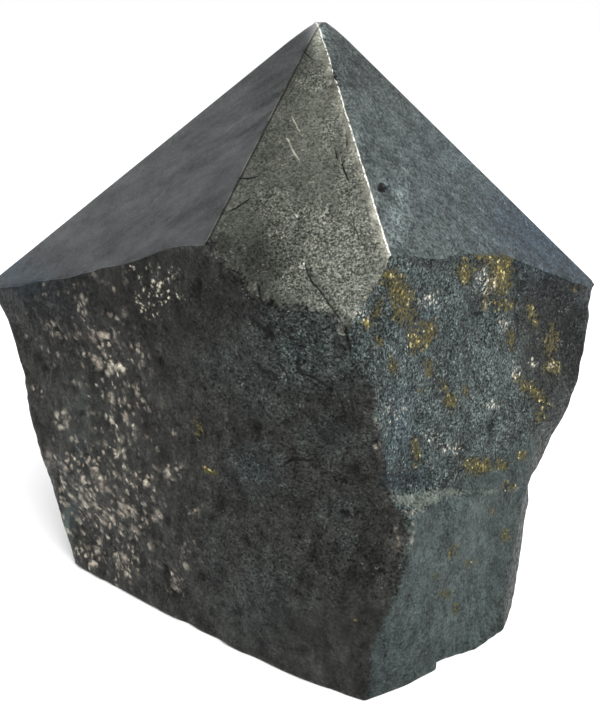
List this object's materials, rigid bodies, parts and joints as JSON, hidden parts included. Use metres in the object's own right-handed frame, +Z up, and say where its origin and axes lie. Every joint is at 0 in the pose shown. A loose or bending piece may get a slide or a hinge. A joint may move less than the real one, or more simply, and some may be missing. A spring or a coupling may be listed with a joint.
{
  "type": "hematite stone",
  "caption": "Rough block of hematite ore with a sawn flat foot and a ground, polished pyramid point, for display on a table or shelf.",
  "frame": {"origin": "middle of the stone's box in plan, at the level of its sawn foot", "axes": "+Z up from the foot to the point, +X to the right along the stone's width, -Y towards the viewer of the front edge"},
  "size_m": [0.0844, 0.0612, 0.08],
  "materials": {
    "hematite": "granular, sparkling broken sides with ochre and pale stains; satin metallic grey ground facets"
  },
  "bodies": {
    "root": {"hematite_stone": "hematite"}
  },
  "joints": []
}
